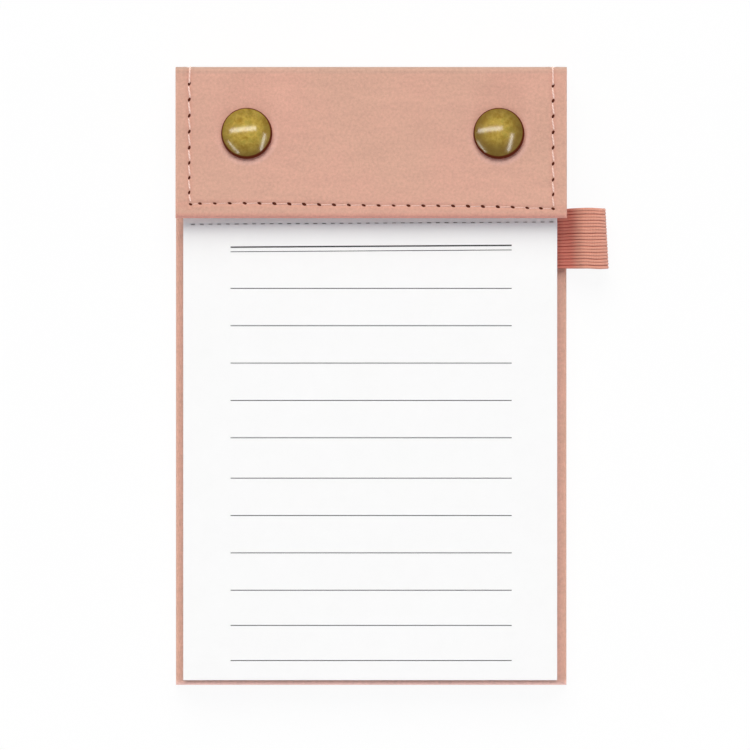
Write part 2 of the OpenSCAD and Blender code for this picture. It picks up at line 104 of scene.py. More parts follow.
class Finish:
    """One finish: its material, and the nodes that make its colour, gloss and relief."""

    def __init__(self, name, colour):
        self.material = bpy.data.materials.new(name)
        self.material.use_nodes = True
        self.material.diffuse_color = colour
        self.tree = self.material.node_tree
        self.tree.nodes.clear()
        self.place = self.node("ShaderNodeTexCoord").outputs["Object"]

    def node(self, kind, settings=None, inputs=None):
        return add_node(self.tree, kind, settings, inputs)

    def math(self, operation, a, b=0.0):
        made = self.node("ShaderNodeMath", {"operation": operation}, {0: a, 1: b})
        return Amount(self, made.outputs[0])

    def stretched(self, scale, turn=(0, 0, 0)):
        """The piece's own places, so scaled that a pattern on them grows long one way."""
        made = self.node("ShaderNodeMapping", {}, {"Vector": self.place, "Scale": scale, "Rotation": turn})
        return made.outputs[0]

    def noise(self, scale, detail=2.0, roughness=0.5, vector=None, warp=0.0):
        made = self.node("ShaderNodeTexNoise", {}, {
            "Vector": vector or self.place, "Scale": scale, "Detail": detail,
            "Roughness": roughness, "Distortion": warp})
        return Amount(self, made.outputs["Fac"])

    def cells(self, scale):
        made = self.node("ShaderNodeTexVoronoi", {"feature": "SMOOTH_F1"}, {
            "Vector": self.place, "Scale": scale})
        return Amount(self, made.outputs["Distance"])

    def own(self, name):
        """An amount that the piece's points or faces carry themselves."""
        made = self.node("ShaderNodeAttribute", {"attribute_name": name})
        return Amount(self, made.outputs["Fac"])

    def between(self, low, high, amount):
        """0 where the amount is low, 1 where it is high, smooth between."""
        made = self.node("ShaderNodeMapRange", {"interpolation_type": "SMOOTHSTEP"}, {
            "Value": amount, "From Min": low, "From Max": high})
        return Amount(self, made.outputs["Result"])

    def mix(self, amount, a, b):
        made = self.node("ShaderNodeMix", {"data_type": "RGBA"}, {0: amount, 6: a, 7: b})
        return made.outputs[2]

    def shade(self, colour, amount):
        """The colour made darker or lighter by an amount round 1."""
        colour = colour[:3] if isinstance(colour, tuple) else colour
        made = self.node("ShaderNodeVectorMath", {"operation": "SCALE"}, {0: colour, "Scale": amount})
        return made.outputs[0]

    def surface(self, colour, roughness, relief=None, depth=0.0, **fixed):
        """The shader: colour, roughness and a relief of the given depth in metres."""
        inputs = {"Base Color": colour, "Roughness": roughness}
        if relief is not None:
            inputs["Normal"] = self.node("ShaderNodeBump", {}, {
                "Height": relief, "Strength": 1.0, "Distance": depth}).outputs[0]
        inputs.update({key.replace("_", " "): value for key, value in fixed.items()})
        shader = self.node("ShaderNodeBsdfPrincipled", {}, inputs)
        self.node("ShaderNodeOutputMaterial", {}, {"Surface": shader.outputs[0]})
        return self.material


def leather_finish(name, colour):
    """Matt aniline leather: pebbled grain with fine pores, unevenly dyed, and hair-fine creases.
    It is redder where an edge is turned, with painted shade on its lip and a redder ring of painted
    shadow below each cap; it has browner painted shade on the fold, and painted light on the
    back's margins and below the caps."""
    f = Finish(name, colour)
    warped = f.noise(900, 2.0)
    pebbles = f.cells(3300)
    pores = f.noise(9000, 2.0, 0.6)
    creases = f.noise(140, 5.0, 0.62, f.stretched((1.0, 2.6, 2.6), (0, 0, 0.35)), 0.6)
    patches = f.noise(38, 3.0, 0.55)
    streaks = f.noise(230, 4.0, 0.65, f.stretched((0.45, 1.6, 1.6)))
    grain = f.noise(1400, 3.0, 0.7)
    height = pebbles * 0.55 + pores * 0.25 + warped * 0.35 + creases * 0.9
    # The last term is painted shade: darker on a turned edge's lip and in a ring below each cap.
    dye = (0.595 + patches * 0.14 + streaks * 0.20 + grain * 0.46
           - f.between(0.6, 1.0, f.own("turned")) * 0.06)
    warm = f.mix(f.between(0.35, 0.7, patches), colour,
                 (colour[0] * 1.01, colour[1] * 0.965, colour[2] * 0.985, 1))
    # Redder along a turned edge and round the stitches, and a redder ring of painted shadow below each cap.
    turned = f.mix(f.own("turned"), warm, (colour[0], colour[1] * 0.76, colour[2] * 0.79, 1))
    # Browner painted shade on the flap's fold.
    creased = f.mix(f.own("crease"), turned, (0.44, 0.30, 0.235, 1))
    # Painted light on the back's margins beside the pad and in a ring below each cap.
    rubbed = f.mix(f.own("pale"), creased, (0.84, 0.50, 0.42, 1))
    return f.surface(f.shade(rubbed, dye), 0.56 + pores * 0.12, height, 0.00006,
                     Specular_IOR_Level=0.32, Sheen_Weight=0.05, Sheen_Roughness=0.5)


def graded(low, high, fine_at, fine, coarse, reach):
    """Places from low to high, close together round the fine ones and wider elsewhere."""
    marks = [low]
    while marks[-1] < high:
        away = min(abs(marks[-1] - place) for place in fine_at)
        marks.append(marks[-1] + (fine if away < reach else min(coarse, fine + 0.3 * (away - reach))))
    marks = np.array(marks)
    return low + (marks - low) * (high - low) / (marks[-1] - low)


def nosed(half, nose, inner):
    """Places across a sheet with rounded edges, and its share of thickness at each."""
    angles = np.radians(np.linspace(0, 90, 7))[:-1]
    edge = half - nose + nose * np.cos(angles)
    share = np.sin(angles)
    places = np.concatenate([-edge, inner, edge[::-1]])
    return places, np.concatenate([share, np.ones(len(inner)), share[::-1]])


def smooth(low, high, value):
    t = np.clip((value - low) / (high - low), 0, 1)
    return t * t * (3 - 2 * t)


def put(name, verts, faces, material, sharp=False):
    """A closed mesh from points in millimetres, with its faces turned outwards."""
    mesh = bpy.data.meshes.new(name)
    mesh.from_pydata((np.asarray(verts) * MM).tolist(), [], faces)
    bm = bmesh.new()
    bm.from_mesh(mesh)
    bmesh.ops.remove_doubles(bm, verts=bm.verts, dist=1e-7)
    bmesh.ops.recalc_face_normals(bm, faces=bm.faces)
    for edge in bm.edges:
        edge.smooth = edge.calc_face_angle(0) < math.radians(50)
    bm.to_mesh(mesh)
    bm.free()
    mesh.materials.append(material)
    mesh.polygons.foreach_set("use_smooth", [not sharp] * len(mesh.polygons))
    piece = bpy.data.objects.new(name, mesh)
    bpy.context.scene.collection.objects.link(piece)
    return piece


def places(piece):
    """A piece's points in millimetres, as one row each of X, Y and Z."""
    flat = np.empty(3 * len(piece.data.vertices))
    piece.data.vertices.foreach_get("co", flat)
    return flat.reshape(-1, 3).T / MM


def mark(piece, **amounts):
    """Gives a piece's points the amounts that its finish reads."""
    for key, values in amounts.items():
        held = piece.data.attributes.new(key, "FLOAT", "POINT")
        held.data.foreach_set("value", np.asarray(values, float))


def quads(grid):
    """The faces between neighbours in a grid of point numbers."""
    return np.stack([grid[:-1, :-1], grid[1:, :-1], grid[1:, 1:], grid[:-1, 1:]], -1).reshape(-1, 4)


def sheet_solid(xs, x_share, path, normals, thick, share, relief_out, relief_in, square=None):
    """A sheet of leather along a path in Y and Z, as points and faces. Where its share of
    thickness is 0 the two skins meet in a rounded edge; other ends are closed flat. Square
    says how much shorter the rounding at the sides is in each row."""
    middle = path - normals * thick[:, None] / 2
    swell = share[:, None] * x_share[None, :]
    half = thick[:, None] / 2 * swell
    out = half + relief_out * swell
    inn = half + relief_in * swell
    n, m = half.shape
    xx = np.broadcast_to(xs[None, :], (n, m))
    if square is not None:
        edge, inner = np.abs(xs).max(), np.abs(xs[x_share == 1]).max()
        grow = (edge - inner) * square[:, None]
        kept = np.minimum(np.abs(xx), inner)
        xx = np.sign(xx) * (kept + grow * np.clip((kept - inner + 1.5) / 1.5, 0, 1)
                            + (np.abs(xx) - kept) * (1 - square[:, None]))

    def skin(offset):
        return np.stack([xx, middle[:, 0:1] + normals[:, 0:1] * offset,
                         middle[:, 1:2] + normals[:, 1:2] * offset], axis=-1).reshape(-1, 3)

    verts = np.concatenate([skin(out), skin(-inn)])
    a = np.arange(n * m).reshape(n, m)
    b = a + n * m
    faces = [quads(a), quads(b[:, ::-1])]
    for row in (0, n - 1):
        if share[row] > 0:
            wall = np.stack([a[row, :-1], a[row, 1:], b[row, 1:], b[row, :-1]], -1)
            faces.append(wall if row == 0 else wall[:, ::-1])
    return verts, np.concatenate(faces).tolist()


def path_normals(path):
    """Unit normals to the left of a path in Y and Z."""
    along = np.gradient(path, axis=0)
    along /= np.linalg.norm(along, axis=1)[:, None]
    return np.stack([-along[:, 1], along[:, 0]], axis=1)


def waves(xs, ys, size, seed):
    """Slow unevenness of a hand-made panel, from a few long sine waves."""
    rng = np.random.default_rng(seed)
    total = np.zeros((len(ys), len(xs)))
    for _ in range(7):
        kx, ky = rng.uniform(-0.16, 0.16, 2)
        total += np.sin(kx * xs[None, :] + ky * ys[:, None] + rng.uniform(0, 6.28))
    return total * size / 7


def dents(xs, ys, centres, depth, inner, outer):
    """Round hollows under metal that is set into a panel."""
    total = np.zeros((len(ys), len(xs)))
    for cx, cy in centres:
        r = np.hypot(xs[None, :] - cx, ys[:, None] - cy)
        total -= depth * (1 - smooth(inner, outer, r))
    return total


leather = leather_finish("pink_leather", LEATHER)

back_xs, back_x_share = nosed(SIDE, EDGE_R, graded(
    -SIDE + EDGE_R, SIDE - EDGE_R, (-SIDE + STITCH_IN, SIDE - STITCH_IN), 0.25, 0.72, 0.6))
nose = np.radians(np.linspace(0, 90, 7))
foot_row = -SPINE + STITCH_IN
flat_ys = np.concatenate([
    -SPINE + EDGE_R * (1 - np.cos(nose[:-1])),
    graded(-SPINE + EDGE_R, SPINE - FOOT_R, (foot_row,), 0.25, 0.72, 0.6)])
bend = np.radians(np.linspace(0, 90, 9))[1:]
rise = np.linspace(FOOT_R, SEAM_Z, 3)[1:]
back_path = np.concatenate([
    np.stack([flat_ys, np.zeros_like(flat_ys)], 1),
    np.stack([SPINE - FOOT_R + FOOT_R * np.sin(bend), FOOT_R - FOOT_R * np.cos(bend)], 1),
    np.stack([np.full_like(rise, SPINE), rise], 1)])
back_normals = -path_normals(back_path)
back_thick = PANEL + (SPINE_T - PANEL) * smooth(72.6, 75.6, back_path[:, 0])
back_share = np.ones(len(back_path))
back_share[:7] = np.sin(nose)
rows = back_path[:, 0]
past_side = np.abs(back_xs)[None, :] - (SIDE - STITCH_IN)
past_foot = (foot_row - rows)[:, None]
line = np.where(np.maximum(past_side, past_foot) > 0.6, FAR,
                np.minimum(np.abs(past_side), np.abs(past_foot)))
back_relief = -0.34 * np.exp(-(line / FURROW) ** 2) + dents(back_xs, rows, STUDS, 0.12, 4.55, 5.2)
back_inner = waves(back_xs, rows, 0.03, 3)
verts, faces = sheet_solid(back_xs, back_x_share, back_path, back_normals, back_thick, back_share,
                           back_relief, back_inner)
cover_back = put("cover_back", verts, faces, leather)
x, y, z = places(cover_back)
# Painted light on the top face's margins at the foot and the sides, where the pad casts shade.
margin = np.maximum(1 - smooth(-76.9, -75.6, y), 0.55 * (1 - smooth(46.9, 48.7, np.abs(x))))
mark(cover_back, pale=margin * smooth(1.2, 1.6, z) * (y < 72))
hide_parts("back_leather")
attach(cover_back, "cover")


# ---- Stiffening boards: grey bookbinder's board glued inside the back panel and inside
# the flap. They hardly show, except as thin grey layers.

def board_finish(name, colour):
    """Grey board: pressed waste-paper fibres with darker and paler flecks."""
    f = Finish(name, colour)
    fibres = f.noise(2600, 4.0, 0.7, f.stretched((0.4, 1.0, 2.5)))
    flecks = f.between(0.62, 0.75, f.noise(5200, 2.0))
    layers = f.noise(5000, 2.0, 0.5, f.stretched((0.05, 0.05, 1.0)))
    tint = 0.78 + fibres * 0.34 + layers * 0.14 - flecks * 0.18
    return f.surface(f.shade(colour, tint), 0.88, fibres + layers * 0.6, 0.00006,
                     Specular_IOR_Level=0.2)


def dress(name, material):
    """Gives its finish to a piece that keeps the frame's shape."""
    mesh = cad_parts[name].data
    mesh.materials.clear()
    mesh.materials.append(material)


board = board_finish("grey_board", (0.36, 0.33, 0.29, 1))
for name in ("back_board", "flap_board"):
    dress(name, board)


# ---- Lining of the back and the spine: thinner leather of the same colour, glued over the
# turned-in edges, with its own cut edges just inside the pad's.

LINING_T = 0.6
LINING_X = 46.4          # half of its width
LINING_FOOT = -74.8
SPINE_IN = 76.0          # inner face of the spine's leather
BEND_Y, BEND_Z = 1.9, 1.5
MEET_Z = 8.0             # height at which the back's lining ends and the flap's begins
lining = leather_finish("pink_lining", (0.655, 0.372, 0.286, 1))

lining_xs, lining_share = nosed(LINING_X, 0.12, graded(
    -LINING_X + 0.12, LINING_X - 0.12, (-LINING_X, LINING_X), 0.4, 1.3, 1.0))
flat = np.linspace(LINING_FOOT, SPINE_IN - BEND_Y, 130)
corner = np.radians(np.linspace(0, 90, 7))[1:]
leg = np.linspace(PANEL + BEND_Z, MEET_Z, 6)[1:]
lining_path = np.concatenate([
    np.stack([flat, np.full_like(flat, PANEL)], 1),
    np.stack([SPINE_IN - BEND_Y + BEND_Y * np.sin(corner), PANEL + BEND_Z - BEND_Z * np.cos(corner)], 1),
    np.stack([np.full_like(leg, SPINE_IN), leg], 1)])
verts, faces = sheet_solid(lining_xs, lining_share, lining_path, -path_normals(lining_path),
                           np.full(len(lining_path), LINING_T), np.ones(len(lining_path)), 0, 0)
lining_back = put("lining_back", verts, faces, lining)
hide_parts("back_lining")
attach(lining_back, "cover")


# ---- Stitching of the back: heavy pale thread in a pricked row round the panel, drawn
# down into a furrow so that it lies level with the leather.

THREAD = 0.4             # thickness of the thread
STITCH_PITCH = 3.73
HOLE_GAP = 0.55          # how much shorter a stitch is than its holes' distance


def thread_finish():
    """Waxed two-ply linen thread: twisted strands, with painted shade where they meet."""
    f = Finish("pale_thread", (0.86, 0.60, 0.49, 1))
    along, around = f.own("along"), f.own("around")
    twist = f.math("SINE", along * 25.13 + around * 12.566)
    ply = f.between(-1.0, 0.5, twist)
    fuzz = f.noise(9000, 2.0, 0.6)
    # Painted shade where the strands meet, lighter on their crowns.
    colour = f.mix(ply, (0.78, 0.50, 0.42, 1), (0.96, 0.71, 0.62, 1))
    return f.surface(f.shade(colour, 0.94 + fuzz * 0.12), 0.62, ply + fuzz * 0.3, 0.00002,
                     Specular_IOR_Level=0.35, Sheen_Weight=0.1)


def hole_finish():
    """Torn fibres in the shade of an awl hole."""
    f = Finish("awl_hole", (0.05, 0.013, 0.008, 1))
    fibres = f.noise(6000, 3.0)
    return f.surface(f.mix(fibres, (0.045, 0.009, 0.004, 1), (0.14, 0.034, 0.018, 1)), 0.9,
                     fibres, 0.00004, Specular_IOR_Level=0.1)


thread, awl_hole = thread_finish(), hole_finish()


def new_tree(name, sizes):
    """A Geometry Nodes tree with named inputs, and its two end nodes."""
    tree = bpy.data.node_groups.new(name, "GeometryNodeTree")
    tree.interface.new_socket("Geometry", in_out="INPUT", socket_type="NodeSocketGeometry")
    for size in sizes:
        tree.interface.new_socket(size, in_out="INPUT", socket_type="NodeSocketFloat")
    tree.interface.new_socket("Geometry", in_out="OUTPUT", socket_type="NodeSocketGeometry")
    return tree, add_node(tree, "NodeGroupInput").outputs


def close_tree(tree, geometry, material):
    real = add_node(tree, "GeometryNodeRealizeInstances", {}, {0: geometry})
    dressed = add_node(tree, "GeometryNodeSetMaterial", {}, {
        "Geometry": real.outputs[0], "Material": material})
    add_node(tree, "NodeGroupOutput", {}, {0: dressed.outputs[0]})


def on_points(tree, sizes, shape):
    """One copy of a shape on every point, turned and stretched as the point says."""
    turn = add_node(tree, "GeometryNodeInputNamedAttribute", {"data_type": "FLOAT_VECTOR"}, {"Name": "turn"})
    reach = add_node(tree, "GeometryNodeInputNamedAttribute", {"data_type": "FLOAT"}, {"Name": "reach"})
    uneven = add_node(tree, "FunctionNodeRandomValue", {"data_type": "FLOAT"}, {2: 0.9, 3: 1.1, "Seed": 7})
    scale = add_node(tree, "ShaderNodeCombineXYZ", {}, {
        "X": reach.outputs[0], "Y": uneven.outputs[1], "Z": uneven.outputs[1]})
    placed = add_node(tree, "GeometryNodeInstanceOnPoints", {}, {
        "Points": sizes["Geometry"], "Instance": shape, "Rotation": turn.outputs[0],
        "Scale": scale.outputs[0]})
    return placed.outputs[0]


def stitch_tree():
    """A bowed length of thread whose ends dive into the leather."""
    tree, sizes = new_tree("stitches", ("Thickness", "Bow", "Dive"))
    down = add_node(tree, "ShaderNodeMath", {"operation": "MULTIPLY"}, {0: sizes["Dive"], 1: -1.0})
    start = add_node(tree, "ShaderNodeCombineXYZ", {}, {"X": -0.5, "Z": down.outputs[0]})
    top = add_node(tree, "ShaderNodeCombineXYZ", {}, {"Z": sizes["Bow"]})
    end = add_node(tree, "ShaderNodeCombineXYZ", {}, {"X": 0.5, "Z": down.outputs[0]})
    bow = add_node(tree, "GeometryNodeCurveQuadraticBezier", {}, {
        "Resolution": 8, "Start": start.outputs[0], "Middle": top.outputs[0], "End": end.outputs[0]})
    half = add_node(tree, "ShaderNodeMath", {"operation": "MULTIPLY"}, {0: sizes["Thickness"], 1: 0.5})
    ring = add_node(tree, "GeometryNodeCurvePrimitiveCircle", {}, {"Resolution": 8, "Radius": half.outputs[0]})
    spot = add_node(tree, "GeometryNodeSplineParameter")
    marked = []
    for curve, key, output in ((bow, "along", "Factor"), (ring, "around", "Factor")):
        marked.append(add_node(
            tree, "GeometryNodeStoreNamedAttribute", {"data_type": "FLOAT", "domain": "POINT"},
            {"Geometry": curve.outputs[0], "Name": key, "Value": spot.outputs[output]}))
    tube = add_node(tree, "GeometryNodeCurveToMesh", {}, {
        "Curve": marked[0].outputs[0], "Profile Curve": marked[1].outputs[0], "Fill Caps": True})
    close_tree(tree, on_points(tree, sizes, tube.outputs[0]), thread)
    return tree


def hole_tree():
    """A small dark slot where the awl went through."""
    tree, sizes = new_tree("awl_holes", ("Width", "Depth"))
    lens = add_node(tree, "GeometryNodeMeshUVSphere", {}, {"Segments": 10, "Rings": 6, "Radius": 0.5})
    size = add_node(tree, "ShaderNodeCombineXYZ", {}, {"X": 1.0, "Y": sizes["Width"], "Z": sizes["Depth"]})
    flat_lens = add_node(tree, "GeometryNodeTransform", {}, {
        "Geometry": lens.outputs[0], "Scale": size.outputs[0]})
    close_tree(tree, on_points(tree, sizes, flat_lens.outputs[0]), awl_hole)
    return tree


def grown(name, tree, sizes, points, turns, reaches):
    """The plain mesh that a tree makes on points given in millimetres."""
    mesh = bpy.data.meshes.new(name)
    mesh.from_pydata((np.asarray(points) * MM).tolist(), [], [])
    held = mesh.attributes.new("turn", "FLOAT_VECTOR", "POINT")
    held.data.foreach_set("vector", np.asarray(turns, float).ravel())
    piece = bpy.data.objects.new(name, mesh)
    mark(piece, reach=reaches)
    bpy.context.scene.collection.objects.link(piece)
    maker = piece.modifiers.new("made", "NODES")
    maker.node_group = tree
    for item in tree.interface.items_tree:
        if item.in_out == "INPUT" and item.name in sizes:
            maker[item.identifier] = sizes[item.name]
    seen = piece.evaluated_get(bpy.context.evaluated_depsgraph_get())
    piece.data = bpy.data.meshes.new_from_object(seen)
    piece.modifiers.clear()
    piece.data.name = name
    piece.data.polygons.foreach_set("use_smooth", [True] * len(piece.data.polygons))
    return piece


def run_of(start, end, pitch):
    """Evenly pricked holes from one point to another, both included."""
    start, end = np.array(start, float), np.array(end, float)
    n = max(1, round(np.linalg.norm(end - start) / pitch))
    return [start + (end - start) * i / n for i in range(n + 1)]


def spans(runs, face, tilt, lift):
    """Middles, turns and lengths of the stitches between neighbouring holes of each run."""
    up = np.array({"back": (0, 0, -1.0), "spine": (0, 1.0, 0), "top": (0, 0, 1.0)}[face])
    middles, turns, reaches = [], [], []
    for holes in runs:
        for a, b in zip(holes, holes[1:]):
            heading = math.atan2(b[1] - a[1], b[0] - a[0]) + tilt
            middles.append((a + b) / 2 + up * lift)
            turns.append({"back": (math.pi, 0, heading), "spine": (0, math.pi / 2, math.pi / 2),
                          "top": (0, 0, heading)}[face])
            reaches.append((np.linalg.norm(b - a) - HOLE_GAP) * MM)
    return middles, turns, reaches


stitches, holes_tree = stitch_tree(), hole_tree()
EDGE = SIDE - STITCH_IN
corners = ((-EDGE, 75.0, 0), (-EDGE, foot_row, 0), (EDGE, foot_row, 0), (EDGE, 75.0, 0))
back_rows = [run_of(start, end, STITCH_PITCH) for start, end in zip(corners, corners[1:])]
stitching_back = grown("stitching_back", stitches, {
    "Thickness": THREAD * MM, "Bow": 0.10 * MM, "Dive": 0.22 * MM},
    *spans(back_rows, "back", math.radians(-6), -0.25))
spots = [h + np.array([0, 0, 0.27]) for holes in back_rows for h in holes]
awl_back = grown("awl_holes_back", holes_tree, {"Width": 0.55 * MM, "Depth": 0.16 * MM}, spots,
                 [(0, 0, math.radians(30))] * len(spots), [0.95 * MM] * len(spots))
for piece in (stitching_back, awl_back):
    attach(piece, "cover")
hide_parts("back_stitching")


# ---- Pen loop: one strip of ribbed woven elastic, folded round and sewn down with both
# ends under the lining. Heavier cords in the weave make every second groove deeper.

LOOP_W = 15.2
LOOP_Y = 34.55
LOOP_C = np.array([55.0, 4.3])
LOOP_R = 3.65
ELASTIC = 0.9
RIBS = 19


def elastic_finish():
    """Ribbed elastic: covered rubber cords side by side, crossed by fine weft threads, with painted
    shade in the grooves.
    """
    f = Finish("ribbed_elastic", (0.70, 0.31, 0.23, 1))
    groove = f.own("groove")
    along = f.own("along")
    weft = f.math("SINE", along * 17000.0 + f.noise(1500, 2.0) * 3.0)
    hairs = f.noise(7000, 3.0, 0.65)
    uneven = f.noise(260, 3.0, 0.6)
    # Painted shade in the grooves, darker where a groove is deeper.
    deep = f.between(0.12, 0.78, groove)
    # Darker and redder near both ends of the strip, by the pad.
    pressed = 1 - f.between(0.0036, 0.0070, f.math("MINIMUM", along, f.own("back")))
    rib = f.mix(pressed, (0.69, 0.32, 0.232, 1), (0.66, 0.22, 0.165, 1))
    low = f.mix(pressed, (0.49, 0.17, 0.12, 1), (0.45, 0.10, 0.075, 1))
    colour = f.mix(deep, rib, low)
    tint = 0.88 + hairs * 0.14 + uneven * 0.12 + weft * 0.025
    return f.surface(f.shade(colour, tint), 0.72, weft * 0.35 + hairs * 0.5, 0.00006,
                     Specular_IOR_Level=0.3, Sheen_Weight=0.12, Sheen_Roughness=0.4)


def loop_path():
    """The middle line of the strip in X and Z: neck, once round the pen's place, and back."""
    def tangent(point, side):
        d = point - LOOP_C
        return math.atan2(d[1], d[0]) + side * math.acos(LOOP_R / np.linalg.norm(d))
    upper_neck, lower_neck = np.array([49.6, 3.87]), np.array([49.6, 2.95])
    a, b = tangent(upper_neck, -1), tangent(lower_neck, 1)
    arc = np.linspace(a, b - 2 * math.pi, 72)
    ring = LOOP_C + LOOP_R * np.stack([np.cos(arc), np.sin(arc)], 1)
    xs = np.linspace(46.55, 49.6, 8)
    upper = np.stack([xs, np.full(8, 3.87)], 1)
    lower = np.stack([xs[::-1], np.full(8, 2.95)], 1)
    rise = upper_neck + (ring[0] - upper_neck) * np.linspace(0, 1, 5)[1:-1, None]
    fall = ring[-1] + (lower_neck - ring[-1]) * np.linspace(0, 1, 5)[1:-1, None]
    points = np.concatenate([upper, rise, ring, fall, lower])
    for _ in range(3):
        points[1:-1] = (points[:-2] + 2 * points[1:-1] + points[2:]) / 4
    return points


strip = loop_path()
tangents = np.gradient(strip, axis=0)
tangents /= np.linalg.norm(tangents, axis=1)[:, None]
strip_out = np.stack([-tangents[:, 1], tangents[:, 0]], 1)
run = np.concatenate([[0], np.cumsum(np.linalg.norm(np.diff(strip, axis=0), axis=1))])
PER_RIB = 8
n_across = RIBS * PER_RIB + 1
share = np.linspace(0, 1, n_across)
crown = np.abs(np.sin(math.pi * share * RIBS)) ** 0.75
gap_index = np.round(share * RIBS).astype(int)
rng = np.random.default_rng(11)
gaps = np.where(np.arange(RIBS + 1) % 2 == 0, 1.0, 0.7) * rng.uniform(0.8, 1.0, RIBS + 1)
gap_depth = 0.25 * gaps[gap_index]
cut_in = gap_depth * (1 - crown)
v = (0.5 - share) * LOOP_W
verts, along_values, back_values, groove_values = [], [], [], []
sway = np.cumsum(rng.normal(0, 0.05, len(strip)))
sway -= np.linspace(sway[0], sway[-1], len(sway))
sway = np.convolve(np.pad(sway, 6, "edge"), np.ones(13) / 13, "valid")
for face in (1, -1):
    for i, (point, out) in enumerate(zip(strip, strip_out)):
        neck = 1 - smooth(45.0, 54.0, point[0])
        lean = smooth(50.0, 58.0, point[0])
        for j in range(n_across):
            off = ELASTIC / 2 - cut_in[j] * (1.0 if face == 1 else 0.4)
            x = point[0] + out[0] * off * face - 0.052 * v[j] * lean
            z = point[1] + out[1] * off * face
            y = LOOP_Y + v[j] - 0.4 * neck * (v[j] + LOOP_W / 2) / LOOP_W + 0.25 * sway[i] * lean
            y += 0.07 * math.sin(0.9 * x + 0.35 * v[j]) * lean
            verts.append((x, y, max(z, 0.12)))
            along_values.append(run[i] * MM)
            back_values.append((run[-1] - run[i]) * MM)
            groove_values.append((1 - crown[j]) * gaps[gap_index[j]])
a = np.arange(len(strip) * n_across).reshape(-1, n_across)
b = a + a.size
faces = [quads(a), quads(b[:, ::-1])]
for edge_a, edge_b in ((a[:, 0], b[:, 0]), (a[:, -1][::-1], b[:, -1][::-1]),
                       (a[0, ::-1], b[0, ::-1]), (a[-1], b[-1])):
    faces.append(np.stack([edge_a[:-1], edge_b[:-1], edge_b[1:], edge_a[1:]], -1))
elastic = elastic_finish()
pen_loop = put("pen_loop_elastic", verts, np.concatenate(faces).tolist(), elastic)
mark(pen_loop, along=along_values, back=back_values, groove=groove_values)
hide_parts("pen_loop")
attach(pen_loop, "cover")


# ---- Pad: forty-eight sheets of white writing paper on a grey card, punched for two posts,
# perforated just under the flap and bound at the head with padding glue.

PAD_W, PAD_X = 93.4, -0.25
SHEET_HEAD, PAD_FOOT = 74.8, -75.95
CARD_TOP, PAD_TOP = 3.9, 8.7
LEAVES = 48
POST_R = 3.25            # radius of the holes for the posts
TEAR_Y, SLOPE = 38.3, math.radians(0.37)


def paper_finish():
    """Smooth uncoated paper: faint fibres and cloudiness, with the sheets showing at the sides
    and painted shade, dark blue-grey, on the walls of the tear-off slits.
    """
    f = Finish("writing_paper", (0.9, 0.9, 0.89, 1))
    cloud = f.noise(300, 3.0, 0.6)
    fibres = f.noise(4200, 3.0, 0.6, f.stretched((0.3, 1.0, 1.0), (0, 0, 0.5)))
    layer = f.noise(9000, 1.0, 0.5, f.stretched((0.01, 0.01, 1.0)))
    bundle = f.noise(2600, 2.0, 0.7, f.stretched((0.02, 0.02, 1.0)))
    tint = 0.985 + cloud * 0.02 + fibres * 0.018 - f.own("cut") * bundle * 0.3
    leaf_colour = f.mix(layer, (0.935, 0.935, 0.93, 1), (0.92, 0.92, 0.912, 1))
    # Painted shade, dark blue-grey, on the walls of the tear-off slits.
    colour = f.mix(f.own("slit"), leaf_colour, (0.13, 0.16, 0.29, 1))
    return f.surface(f.shade(colour, tint), 0.86 + cloud * 0.05, fibres + cloud * 0.4, 0.000012,
                     Specular_IOR_Level=0.25)


paper = paper_finish()


